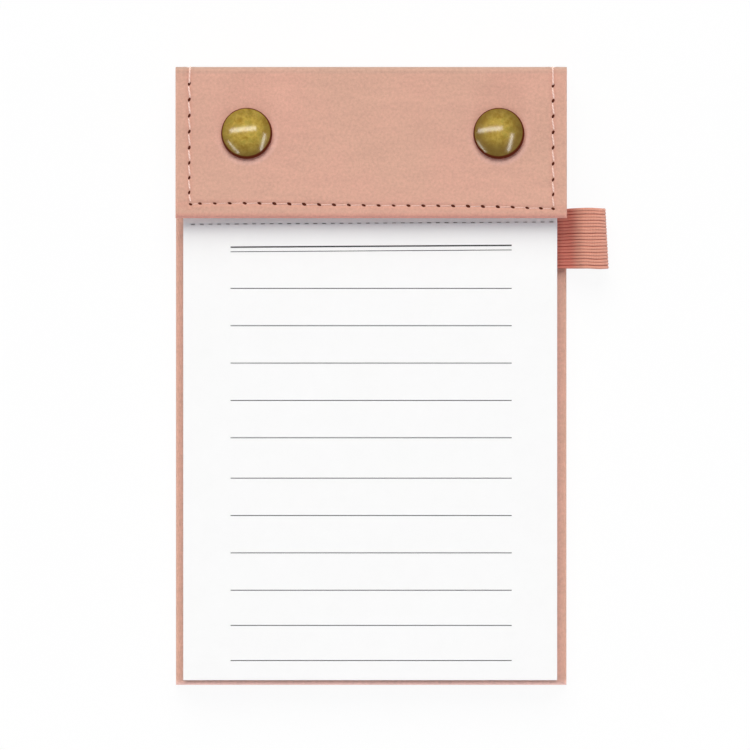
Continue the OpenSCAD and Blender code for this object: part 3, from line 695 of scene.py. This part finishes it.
def leaf_mesh(name, width, foot, head, thickness):
    """One sheet with its slits and its two post holes, as a thin closed solid."""
    low, high = PAD_X - width / 2, PAD_X + width / 2
    slits = [(0.24 + (i - 20.5) * 2.187 - 0.6, 0.24 + (i - 20.5) * 2.187 + 0.6) for i in range(42)]
    level = TEAR_Y + 5
    bm = bmesh.new()
    spots = {}

    def spot(x, y):
        key = (round(x, 4), round(y, 4))
        if key not in spots:
            spots[key] = bm.verts.new((x * MM, y * MM, -thickness / 2 * MM))
        return spots[key]

    def face(points):
        bm.faces.new([spot(x, y) for x, y in points])

    def tear(x, dy=0.0):
        return (x, TEAR_Y + (x - PAD_X) * math.tan(SLOPE) + dy)

    edges = [low] + [x for pair in slits for x in pair] + [high]
    for i, (x0, x1) in enumerate(zip(edges, edges[1:])):
        if i % 2 == 0:
            under = over = [tear(x0), tear(x1)]
        else:
            under = [tear(x0), tear(x0 + 0.1, -0.14), tear(x1 - 0.1, -0.14), tear(x1)]
            over = [tear(x0), tear(x0 + 0.1, 0.14), tear(x1 - 0.1, 0.14), tear(x1)]
        face([(x0, foot), (x1, foot)] + under[::-1])
        face(over + [(x1, level), (x0, level)])
    middle = min(edges, key=lambda x: abs(x - 0.4))
    half_turn = np.linspace(0, math.pi, 19)
    for (cx, cy), x0, x1 in ((STUDS[0], low, middle), (STUDS[1], middle, high)):
        row = [(x, level) for x in edges if x0 <= x <= x1]
        below = [(cx + POST_R * math.cos(t), cy - POST_R * math.sin(t)) for t in half_turn]
        above = [(cx - POST_R * math.cos(t), cy + POST_R * math.sin(t)) for t in half_turn]
        face(row + [(x1, cy)] + below + [(x0, cy)])
        face([(x0, cy)] + above
             + [(x1, cy), (x1, head), (x0, head)])
    raised = bmesh.ops.extrude_face_region(bm, geom=bm.faces[:])["geom"]
    upper = [part for part in raised if isinstance(part, bmesh.types.BMVert)]
    bmesh.ops.translate(bm, vec=(0, 0, thickness * MM), verts=upper)
    bmesh.ops.triangulate(bm, faces=bm.faces[:])
    bmesh.ops.recalc_face_normals(bm, faces=bm.faces)
    mesh = bpy.data.meshes.new(name)
    bm.to_mesh(mesh)
    bm.free()
    # Marks the slit walls, which the finish paints dark as painted shade.
    torn = [float(abs(part.normal.z) < 0.5 and abs(part.center.y / MM - TEAR_Y) < 1.0
                  and abs(part.center.x / MM - PAD_X) < width / 2 - 0.3) for part in mesh.polygons]
    cut = [float(abs(part.normal.z) < 0.5) for part in mesh.polygons]
    for key, values in (("slit", torn), ("cut", cut)):
        mesh.attributes.new(key, "FLOAT", "FACE").data.foreach_set("value", values)
    leaf = bpy.data.objects.new(name, mesh)
    bpy.context.scene.collection.objects.link(leaf)
    return leaf


def leaves_tree(leaf):
    """The sheets one above the other, each a hair out of line, the top one true."""
    tree, sizes = new_tree("leaves", ("Count", "Spacing", "Bottom", "Slip"))
    step = add_node(tree, "ShaderNodeCombineXYZ", {}, {"Z": sizes["Spacing"]})
    foot = add_node(tree, "ShaderNodeCombineXYZ", {}, {"Z": sizes["Bottom"]})
    pile = add_node(tree, "GeometryNodeMeshLine", {}, {
        "Count": sizes["Count"], "Start Location": foot.outputs[0], "Offset": step.outputs[0]})
    index = add_node(tree, "GeometryNodeInputIndex")
    last = add_node(tree, "ShaderNodeMath", {"operation": "SUBTRACT"}, {0: sizes["Count"], 1: 1.5})
    under = add_node(tree, "ShaderNodeMath", {"operation": "LESS_THAN"}, {
        0: index.outputs[0], 1: last.outputs[0]})
    amount = add_node(tree, "ShaderNodeMath", {"operation": "MULTIPLY"}, {
        0: under.outputs[0], 1: sizes["Slip"]})
    slip = add_node(tree, "FunctionNodeRandomValue", {"data_type": "FLOAT_VECTOR"}, {
        0: (-1, -1, 0), 1: (1, 1, 0), "Seed": 5})
    offset = add_node(tree, "ShaderNodeVectorMath", {"operation": "SCALE"}, {
        0: slip.outputs[0], "Scale": amount.outputs[0]})
    moved = add_node(tree, "GeometryNodeSetPosition", {}, {
        "Geometry": pile.outputs[0], "Offset": offset.outputs[0]})
    sheet = add_node(tree, "GeometryNodeObjectInfo", {}, {"Object": leaf})
    placed = add_node(tree, "GeometryNodeInstanceOnPoints", {}, {
        "Points": moved.outputs[0], "Instance": sheet.outputs["Geometry"]})
    close_tree(tree, placed.outputs[0], paper)
    return tree


leaf = leaf_mesh("leaf", PAD_W, PAD_FOOT, SHEET_HEAD, 0.094)
sheets = grown("paper_sheets", leaves_tree(leaf), {
    "Count": float(LEAVES), "Spacing": 0.1 * MM, "Bottom": (CARD_TOP + 0.05) * MM, "Slip": 0.07 * MM},
    [(0, 0, 0)], [(0, 0, 0)], [1.0])
bpy.data.objects.remove(leaf)
sheets.data.polygons.foreach_set("use_smooth", [False] * len(sheets.data.polygons))
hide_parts("paper_pad")
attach(sheets, "cover")

card = board_finish("backing_card", (0.42, 0.38, 0.33, 1))
dress("pad_card", card)


def glue_finish():
    """Dried padding glue brushed over the head of the pad: milky, with brush marks."""
    f = Finish("padding_glue", (0.80, 0.77, 0.70, 1))
    brushed = f.noise(700, 4.0, 0.6, f.stretched((0.08, 1.0, 1.0)))
    drops = f.noise(1200, 3.0)
    return f.surface(f.mix(brushed, (0.70, 0.66, 0.57, 1), (0.86, 0.84, 0.78, 1)),
                     0.38 + drops * 0.2, brushed + drops * 0.5, 0.00008)


dress("pad_glue", glue_finish())


# ---- Ruling: grey offset print on the top sheet, two head rules close together and eleven
# writing rules, the last ones a little closer.

def print_finish():
    """Thin grey ink that lets the paper's fibres through."""
    f = Finish("grey_print", (0.13, 0.13, 0.13, 1))
    skip = f.noise(5000, 3.0, 0.7)
    return f.surface(f.mix(skip, (0.03, 0.03, 0.03, 1), (0.085, 0.085, 0.083, 1)), 0.7,
                     skip, 0.000005, Specular_IOR_Level=0.2)


RULE_L, RULE_X = 70.3, -0.02
drops = [i * 9.34 + (0.76 if i >= 5 else 0) - max(0, i - 8) * 0.55 for i in range(11)]
rules = [(TEAR_Y - 5.8, 0.37, SLOPE), (TEAR_Y - 6.95, 0.19, SLOPE)]
rules += [(TEAR_Y - 16.33 - drop, 0.21, 0.0) for drop in drops]
verts, faces = [], []
for y, width, slope in rules:
    base = len(verts)
    parts = np.linspace(-RULE_L / 2, RULE_L / 2, 15)
    for z in (PAD_TOP - 0.02, PAD_TOP + 0.006):
        for edge in (-0.5, 0.5):
            verts += [(RULE_X + x * math.cos(slope), y + x * math.sin(slope) + edge * width, z)
                      for x in parts]
    m = len(parts)
    for i in range(m - 1):
        low_a, low_b, up_a, up_b = (base + k * m + i for k in range(4))
        faces += [(low_a, low_b, low_b + 1, low_a + 1), (up_a, up_a + 1, up_b + 1, up_b),
                  (low_a, low_a + 1, up_a + 1, up_a), (low_b, up_b, up_b + 1, low_b + 1)]
    for i in (0, m - 1):
        faces.append(tuple(base + k * m + i for k in (0, 2, 3, 1)))
ruling = put("printed_rules", verts, faces, print_finish(), sharp=True)
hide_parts("ruled_lines")
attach(ruling, "cover")


# ---- Flap: the same sheet of leather folded over the head of the pad, with a thinner
# board and a rounded, turned free edge. Its row of stitches runs a little out of square.

FLAP_Y, FLAP_T, TOP, FOLD_R = 39.5, 2.1, 12.8, 1.35
SIDE_X = 45.45
ROW_LINE = ((-45.1, -42.8, -32, -24, -14, 0, 20, 34, 39, SIDE_X),
            (42.94, 43.14, 43.24, 43.13, 42.9, 42.68, 42.56, 42.3, 42.06, 41.84))
LEFT_HOLES = [(-SIDE_X, y) for y in (73.1, 69.1, 65.1, 61.1, 57.1, 53.3, 49.6, 45.9)] + [(-45.1, 42.94)]
ROW_HOLES = [(x, np.interp(x, *ROW_LINE))
             for x in [-45.1] + [-42.78 + 3.72 * i for i in range(22)] + [38.98, 42.4, SIDE_X]]
RIGHT_HOLES = [(SIDE_X, y) for y in (41.84, 45.4, 49.1, 53.1, 57.1, 60.95, 64.95, 68.8, 72.6)]

flap_xs, flap_x_share = nosed(SIDE, EDGE_R, graded(
    -SIDE + EDGE_R, SIDE - EDGE_R, (-SIDE_X, SIDE_X), 0.22, 0.46, 0.9))
free = FLAP_Y + FLAP_T / 2
top_ys = np.concatenate([FLAP_Y + FLAP_T / 2 * (1 - np.cos(nose[:-1])),
                         graded(free, SPINE - FOLD_R, (42.4,), 0.22, 0.5, 1.0)])
fold = np.radians(np.linspace(0, 90, 11))[1:]
drop = np.linspace(TOP - FOLD_R, SEAM_Z, 20)[1:]
flap_path = np.concatenate([
    np.stack([top_ys, np.full_like(top_ys, TOP)], 1),
    np.stack([SPINE - FOLD_R + FOLD_R * np.sin(fold), TOP - FOLD_R + FOLD_R * np.cos(fold)], 1),
    np.stack([np.full_like(drop, SPINE), drop], 1)])
flap_normals = path_normals(flap_path)
flap_thick = FLAP_T + (SPINE_T - FLAP_T) * smooth(73.4, 75.7, flap_path[:, 0])
flap_share = np.ones(len(flap_path))
flap_share[:7] = np.sin(nose)
flap_run = np.concatenate([[0], np.cumsum(np.linalg.norm(np.diff(flap_path, axis=0), axis=1))]) + FLAP_Y
FOLD_RUN = SPINE - FOLD_R
X, Y = np.meshgrid(flap_xs, flap_run)
row_y = np.interp(X, *ROW_LINE)
off_row = np.where(np.abs(X) < 46.0, np.abs(Y - row_y), FAR)
off_side = np.where(Y > np.where(X < 0, 42.6, 41.4), np.abs(np.abs(X) - SIDE_X), FAR)
away = np.minimum(off_row, off_side)
flap_relief = -0.13 * np.exp(-(away / FURROW) ** 2) + 0.035 * np.exp(-((away - 1.05) / 0.5) ** 2)
for hx, hy in LEFT_HOLES[:-1] + ROW_HOLES + RIGHT_HOLES[1:]:
    flap_relief -= 0.16 * np.exp(-((X - hx) ** 2 + (Y - hy) ** 2) / 0.4 ** 2)
for cx, cy in STUDS:
    r = np.hypot(X - cx, Y - cy)
    flap_relief += -0.05 * np.exp(-((r - 6.1) / 0.9) ** 2) - 0.3 * (1 - smooth(4.5, 5.6, r))
flap_relief += waves(flap_xs, flap_run, 0.10, 21) * (1 - smooth(FOLD_RUN - 7, FOLD_RUN - 1, Y))
verts, faces = sheet_solid(flap_xs, flap_x_share, flap_path, flap_normals, flap_thick, flap_share,
                           flap_relief, 0.0, 0.95 * smooth(FOLD_RUN - 3.0, FOLD_RUN, flap_run))
cover_flap = put("cover_flap", verts, faces, leather)
x, y, z = places(cover_flap)
seam = np.minimum(np.where(y > 41.4, np.abs(np.abs(x) - SIDE_X), FAR), np.abs(y - np.interp(x, *ROW_LINE)))
# Redder along the turned free edge, with painted shade on its lip, and a little redder round the stitches.
turned_edge = np.maximum(0.6 - 0.6 * smooth(40.1, 41.2, y) + 0.4 * (1 - smooth(39.6, 40.3, y)),
                         0.25 * (1 - smooth(0.3, 1.5, seam)))
# Painted shade on the fold, browner and darker, strongest over the fold's top.
on_fold = smooth(TOP - FOLD_R - 1.5, TOP - FOLD_R + 0.3, z)
crease = on_fold * (0.35 * smooth(FOLD_RUN - 0.6, FOLD_RUN + 0.2, y)
                    + 0.5 * smooth(FOLD_RUN + 0.5, FOLD_RUN + 1.1, y))
pale = np.zeros(len(y))
for cx, cy in STUDS:
    dx, dy = x - cx, y - cy
    r = np.maximum(np.hypot(dx, dy), 0.1)
    below = (0.5 + 0.5 * (0.3 * dx - 0.95 * dy) / r) ** 1.6 * (z > TOP - 0.6)
    # A redder, darker ring of painted shadow just below each cap, on the side away from the light.
    turned_edge = np.maximum(turned_edge, below * (1 - smooth(6.7, 7.1, r)))
    # Painted light in a ring just outside the painted shadow below each cap.
    pale += 0.6 * below * smooth(6.8, 7.1, r) * (1 - smooth(7.4, 8.4, r))
mark(cover_flap, turned=turned_edge, crease=crease, pale=pale)
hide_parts("flap_leather")
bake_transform(cover_flap)


# ---- Lining of the flap: thin leather of the same colour, which runs round the inside of
# the fold and is pressed in a little round the two sockets.

flat = np.concatenate([np.linspace(42.1, 54.5, 14), np.linspace(54.9, 66.5, 40), np.linspace(67, 72.6, 10)])
ease = np.linspace(0, 1, 6)[1:]
turn_in = np.radians(np.linspace(0, 90, 7))[1:]
leg = np.linspace(10.3, 8.0, 5)[1:]
flap_lining_path = np.concatenate([
    np.stack([flat, np.full_like(flat, TOP - FLAP_T)], 1),
    np.stack([72.6 + 2.1 * ease, TOP - FLAP_T + 0.55 * ease ** 2 * (3 - 2 * ease)], 1),
    np.stack([74.7 + 1.28 * np.sin(turn_in), 10.3 + 0.95 * np.cos(turn_in)], 1),
    np.stack([np.full_like(leg, 75.98), leg], 1)])
flap_lining_xs, flap_lining_share = nosed(LINING_X, 0.12, graded(
    -LINING_X + 0.12, LINING_X - 0.12, (STUDS[0][0], STUDS[1][0]), 0.4, 1.3, 6.5))
under_dents = dents(flap_lining_xs, flap_lining_path[:, 0], STUDS, 0.16, 4.9, 5.7)
verts, faces = sheet_solid(flap_lining_xs, flap_lining_share, flap_lining_path,
                           path_normals(flap_lining_path), np.full(len(flap_lining_path), LINING_T),
                           np.ones(len(flap_lining_path)), 0.0, under_dents)
lining_flap = put("lining_flap", verts, faces, lining)
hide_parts("flap_lining")
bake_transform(lining_flap)


# ---- Stitching of the flap: the same thread in slanting awl holes along three edges. On
# each side one stitch lies over the fold and two more run down the spine.

stitching_flap = []
for name, runs, tilt, size, lift in (("stitching_sides", (LEFT_HOLES, RIGHT_HOLES), 9, 0.42, -0.06),
                                     ("stitching_row", (ROW_HOLES,), 3, 0.18, -0.085)):
    runs = [[np.array([x, y, TOP]) for x, y in holes] for holes in runs]
    stitching_flap.append(grown(name, stitches, {
        "Thickness": size * MM, "Bow": 0.9 * size * MM, "Dive": 0.9 * size * MM},
        *spans(runs, "top", math.radians(tilt), lift)))
spots, slants, lengths = [], [], []
for holes, slant in ((LEFT_HOLES[:-1], 62), (ROW_HOLES, -27), (RIGHT_HOLES[1:], 58)):
    for x, y in holes:
        spots.append((x, y, TOP - 0.21))
        slants.append((0, 0, math.radians(slant)))
        lengths.append((1.42 if holes is ROW_HOLES else 1.2) * MM)
awl_flap = grown("awl_holes_flap", holes_tree, {"Width": 0.7 * MM, "Depth": 0.36 * MM},
                 spots, slants, lengths)
for piece in stitching_flap + [awl_flap]:
    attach(piece, "flap")
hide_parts("flap_stitching")

spine_rows = [run_of((x, SPINE, 10.9), (x, SPINE, 3.5), STITCH_PITCH) for x in (-45.2, 45.35)]
stitching_spine = grown("stitching_spine", stitches, {
    "Thickness": THREAD * MM, "Bow": 0.5 * MM, "Dive": 0.5 * MM}, *spans(spine_rows, "spine", 0, -0.02))
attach(stitching_spine, "cover")


def tube(points, radius, sides=8):
    """A round thread along points, tapered into its holes at both ends."""
    points = np.array(points)
    along = np.gradient(points, axis=0)
    along /= np.linalg.norm(along, axis=1)[:, None]
    verts, faces = [], []
    n = len(points)
    for i, (point, t) in enumerate(zip(points, along)):
        u = np.array([1.0, 0, 0]) - t * t[0]
        u /= np.linalg.norm(u)
        w = np.cross(t, u)
        for k in range(sides):
            a = 2 * math.pi * k / sides
            verts.append(point + radius * (math.cos(a) * u + math.sin(a) * w))
    for i in range(n - 1):
        for k in range(sides):
            q = (k + 1) % sides
            faces.append((i * sides + k, i * sides + q, (i + 1) * sides + q, (i + 1) * sides + k))
    faces.append(tuple(range(sides))[::-1])
    faces.append(tuple((n - 1) * sides + k for k in range(sides)))
    return verts, faces


verts, faces, along_values, around_values = [], [], [], []
for x0, y0, x1 in ((-SIDE_X, 73.2, -45.2), (SIDE_X, 72.7, 45.35)):
    flat_part = [(y, TOP) for y in np.linspace(y0, SPINE - FOLD_R, 8)[:-1]]
    arc_part = [(SPINE - FOLD_R + FOLD_R * math.sin(t), TOP - FOLD_R + FOLD_R * math.cos(t))
                for t in np.linspace(0, math.pi / 2, 9)]
    course = np.array(flat_part + arc_part + [(SPINE, 11.2)])
    out = path_normals(course)
    rise = np.full(len(course), -0.08)
    rise[0], rise[-1] = -0.25, -0.2
    course = course + out * rise[:, None]
    xs = np.linspace(x0, x1, len(course))
    got_verts, got_faces = tube([(x, y, z) for x, (y, z) in zip(xs, course)], THREAD / 2)
    base = len(verts)
    verts += list(got_verts)
    faces += [tuple(base + i for i in face) for face in got_faces]
    for i in range(len(course)):
        along_values += [i / len(course) * 1.6] * 8
        around_values += [k / 8 for k in range(8)]
fold_thread = put("stitching_fold", verts, faces, thread)
mark(fold_thread, along=along_values, around=around_values)
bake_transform(fold_thread)


# ---- Press studs: antiqued brass. Two domed caps riveted through the flap into sockets
# with a sprung wire ring, and two long studs held by eyelets from the back face.

CAP_R, CAP_H, RIM_R = 6.38, 2.2, 0.52


def brass_finish(name, aged):
    """Brass dipped brown and polished back by rubbing: mottled gold with dark specks of grime. With
    painted shade, it has a dark rim of painted shade that is widest at its lower side, and grows
    browner and darker in painted shade towards the dome's edge and lower side.
    """
    f = Finish(name, (0.36, 0.26, 0.09, 1))
    blotch = f.noise(620, 5.0, 0.66, warp=0.2)
    speck = f.noise(2600, 3.0, 0.6)
    green = f.noise(650, 3.0, 0.55)
    fine = f.noise(5200, 2.0)
    bright = f.between(0.30, 0.70, blotch)
    base = f.mix(bright, (0.42, 0.235, 0.004, 1), (0.72, 0.51, 0.075, 1))
    olive = f.mix(f.between(0.48, 0.66, green) * 0.4, base, (0.40, 0.33, 0.03, 1))
    dirt = f.between(0.56, 0.72, speck) * 0.3
    lacquer = 1.0 - dirt
    if aged:
        # Dark rim: painted shade, widest on the lower side, with no coat there.
        rim = f.between(0.2, 0.8, f.own("rim") + (speck - 0.5) * 0.2)
        dirt, lacquer = f.math("MAXIMUM", dirt, rim), 1.0 - rim
        # Painted shade: browner and darker towards the dome's edge and lower side; the right cap is darker
        # overall.
        olive = f.mix(f.between(0.2, 1.3, f.own("outward")) * 0.7, olive, (0.42, 0.22, 0.010, 1))
        olive = f.shade(olive, 1.0 - f.between(0.0, 1.4, f.own("outward")) * 0.46 + speck * 0.4)
    colour = f.mix(dirt, olive, (0.16, 0.022, 0.002, 1))
    rough = 0.42 + blotch * 0.14 + dirt * 0.1
    return f.surface(colour, rough, speck * 0.6 + fine * 0.4, 0.000006, Metallic=0.6,
                     Coat_Weight=lacquer, Coat_Roughness=0.14, Coat_IOR=1.9)


cap_brass, plain_brass = brass_finish("antique_brass_cap", True), brass_finish("antique_brass", False)


def cap_profile():
    """Half of the cap's outline, from the middle of the dome to the stem's end."""
    rim_x = CAP_R - RIM_R
    dome_r = (rim_x ** 2 + (CAP_H - RIM_R) ** 2 - RIM_R ** 2) / (2 * (CAP_H - 2 * RIM_R))
    join = math.atan2(RIM_R - (CAP_H - dome_r), rim_x)
    points = [(dome_r * math.cos(a), CAP_H - dome_r + dome_r * math.sin(a))
              for a in np.linspace(math.pi / 2, join, 26)]
    points += [(rim_x + RIM_R * math.cos(a), RIM_R + RIM_R * math.sin(a))
               for a in np.linspace(join, -math.pi / 2, 15)[1:]]
    points += [(rim_x - 0.5, 0.12), (4.0, 0.5), (1.8, 0.5), (1.8, -1.9), (0, -1.9)]
    return points


def turned(profile, centre, base_z, steps=96):
    """A turned shape round a stud's axis, with both its poles closed."""
    inner = profile[1:-1]
    verts = [(centre[0], centre[1], base_z + profile[0][1])]
    for r, z in inner:
        verts += [(centre[0] + r * math.cos(t), centre[1] + r * math.sin(t), base_z + z)
                  for t in np.linspace(0, 2 * math.pi, steps + 1)[:-1]]
    verts.append((centre[0], centre[1], base_z + profile[-1][1]))
    faces = [(0, 1 + k, 1 + (k + 1) % steps) for k in range(steps)]
    for ring in range(len(inner) - 1):
        for k in range(steps):
            q = (k + 1) % steps
            faces.append((1 + ring * steps + k, 1 + (ring + 1) * steps + k,
                          1 + (ring + 1) * steps + q, 1 + ring * steps + q))
    tip, base = len(verts) - 1, 1 + (len(inner) - 1) * steps
    faces += [(tip, base + (k + 1) % steps, base + k) for k in range(steps)]
    return verts, faces


for side, centre, worn, bare in zip(("left", "right"), STUDS, (1.0, 1.4), (0.0, 0.22)):
    verts, faces = turned(cap_profile(), centre, TOP)
    cap = put(f"cap_{side}", verts, faces, cap_brass)
    dirt, outward = [], []
    for spot in cap.data.vertices:
        dx, dy = spot.co.x / MM - centre[0], spot.co.y / MM - centre[1]
        r = math.hypot(dx, dy)
        # The rim's dark band is painted shade, widest on the lower side, away from the light.
        lower = (0.5 + 0.5 * (0.3 * dx - 0.95 * dy) / max(r, 0.1)) ** 1.6
        dirt.append(float(smooth(CAP_R - 0.36 - 0.78 * lower, CAP_R - 0.02 - 0.34 * lower, r)))
        # Painted shade growing towards the edge and the lower side; the right cap is darker overall.
        outward.append(bare + worn * (math.hypot(dx, dy - 1.3) / CAP_R) ** 2)
    mark(cap, rim=dirt, outward=outward)
    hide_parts(f"snap_cap_{side}")
    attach(cap, "flap")


def wire_finish():
    """Drawn spring wire, bright with fine lines along it."""
    f = Finish("spring_wire", (0.55, 0.55, 0.54, 1))
    lines = f.noise(5000, 3.0)
    return f.surface(f.mix(lines, (0.40, 0.40, 0.39, 1), (0.66, 0.66, 0.65, 1)), 0.2 + lines * 0.2,
                     lines, 0.000008, Metallic=1.0)


spring_wire = wire_finish()
for side in ("left", "right"):
    for name, metal in (("snap_socket", plain_brass), ("snap_stud", plain_brass),
                        ("stud_eyelet", plain_brass), ("socket_spring", spring_wire)):
        dress(f"{name}_{side}", metal)


# ---- Table, light and camera: a white table under soft studio light from the head of the
# pad, with low lamps at the foot and the sides and three strip lamps for the brass,
# seen from straight above through a long lens.

def table_finish():
    """White table that keeps a faint shadow of the notepad."""
    f = Finish("white_table", (1, 1, 1, 1))
    grain = f.noise(80, 2.0)
    white = f.shade((0.93, 0.93, 0.93, 1), 0.98 + grain * 0.03)
    cloth = f.node("ShaderNodeBsdfDiffuse", {}, {"Color": white})
    glow = f.node("ShaderNodeEmission", {}, {"Color": (1, 1, 1, 1), "Strength": 1.0})
    ray = f.node("ShaderNodeLightPath")
    seen = f.math("MAXIMUM", Amount(f, ray.outputs["Is Camera Ray"]), Amount(f, ray.outputs["Is Glossy Ray"]))
    both = f.node("ShaderNodeMixShader", {}, {0: seen * 0.92, 1: cloth.outputs[0], 2: glow.outputs[0]})
    f.node("ShaderNodeOutputMaterial", {}, {"Surface": both.outputs[0]})
    return f.material


mesh = bpy.data.meshes.new("table")
mesh.from_pydata([(x, y, -0.00002) for x, y in ((-3, -3), (3, -3), (3, 3), (-3, 3))], [], [(0, 1, 2, 3)])
mesh.materials.append(table_finish())
table = bpy.data.objects.new("table", mesh)
bpy.context.scene.collection.objects.link(table)

world = bpy.data.worlds.new("studio")
world.use_nodes = True
world.node_tree.nodes.clear()
ray = add_node(world.node_tree, "ShaderNodeLightPath")
for_camera = add_node(world.node_tree, "ShaderNodeMath", {"operation": "MULTIPLY_ADD"}, {
    0: ray.outputs["Is Camera Ray"], 1: 0.62, 2: 0.38})
for_gloss = add_node(world.node_tree, "ShaderNodeMath", {"operation": "MULTIPLY_ADD"}, {
    0: ray.outputs["Is Glossy Ray"], 1: -0.26, 2: for_camera.outputs[0]})
tint = add_node(world.node_tree, "ShaderNodeMix", {"data_type": "RGBA"}, {
    0: ray.outputs["Is Camera Ray"], 6: (0.97, 1.05, 1.15, 1), 7: (1, 1, 1, 1)})
sky = add_node(world.node_tree, "ShaderNodeBackground", {}, {
    "Color": tint.outputs[2], "Strength": for_gloss.outputs[0]})
add_node(world.node_tree, "ShaderNodeOutputWorld", {}, {"Surface": sky.outputs[0]})
bpy.context.scene.world = world


def lamp(name, kind, place, target, spin=0, **settings):
    """A lamp that points at its target. The strips only show in the brass."""
    light = bpy.data.lights.new(name, kind)
    for key, value in settings.items():
        setattr(light, key, value)
    holder = bpy.data.objects.new(name, light)
    holder.location = place
    aim = (Vector(target) - Vector(place)).to_track_quat("-Z", "Y")
    holder.rotation_euler = (Quaternion((0, 0, 1), math.radians(spin)) @ aim).to_euler()
    holder.visible_camera = False
    holder.visible_glossy = kind == "AREA"
    holder.visible_diffuse = kind != "AREA"
    bpy.context.scene.collection.objects.link(holder)


lamp("key", "SUN", (-0.06, 1, 0.88), (0, 0, 0), energy=2.65,
     angle=math.radians(50), color=(1.03, 0.965, 0.90))
lamp("card_at_foot", "SUN", (0, -1, 0.12), (0, 0, 0), energy=1.3,
     angle=math.radians(12), color=(0.97, 1.05, 1.15))
for name, side in (("card_at_left", -1), ("card_at_right", 1)):
    lamp(name, "SUN", (side, 0, 0.12), (0, 0, 0), energy=0.7, angle=math.radians(12))
lamp("strip_above", "AREA", (-0.083, 0.112, 0.358), (-0.083, 0.112, 0), 5, energy=0.2, shape="RECTANGLE",
     size=0.32, size_y=0.048)
lamp("strip_right", "AREA", (0.174, -0.05, 0.358), (0.174, -0.05, 0), 80, energy=0.12, shape="RECTANGLE",
     size=0.23, size_y=0.034)
lamp("strip_left", "AREA", (-0.205, -0.115, 0.358), (-0.205, -0.115, 0), 129, energy=0.07, shape="RECTANGLE",
     size=0.22, size_y=0.016)

camera = bpy.data.cameras.new("camera")
camera.lens = 800
camera.sensor_width = 36
camera.clip_end = 20
eye = bpy.data.objects.new("camera", camera)
eye.location = (0.00095, 0.00031, 0.0095 + 0.1875 * 800 / 36)
bpy.context.scene.collection.objects.link(eye)
bpy.context.scene.camera = eye
bpy.context.scene.view_settings.view_transform = "Standard"
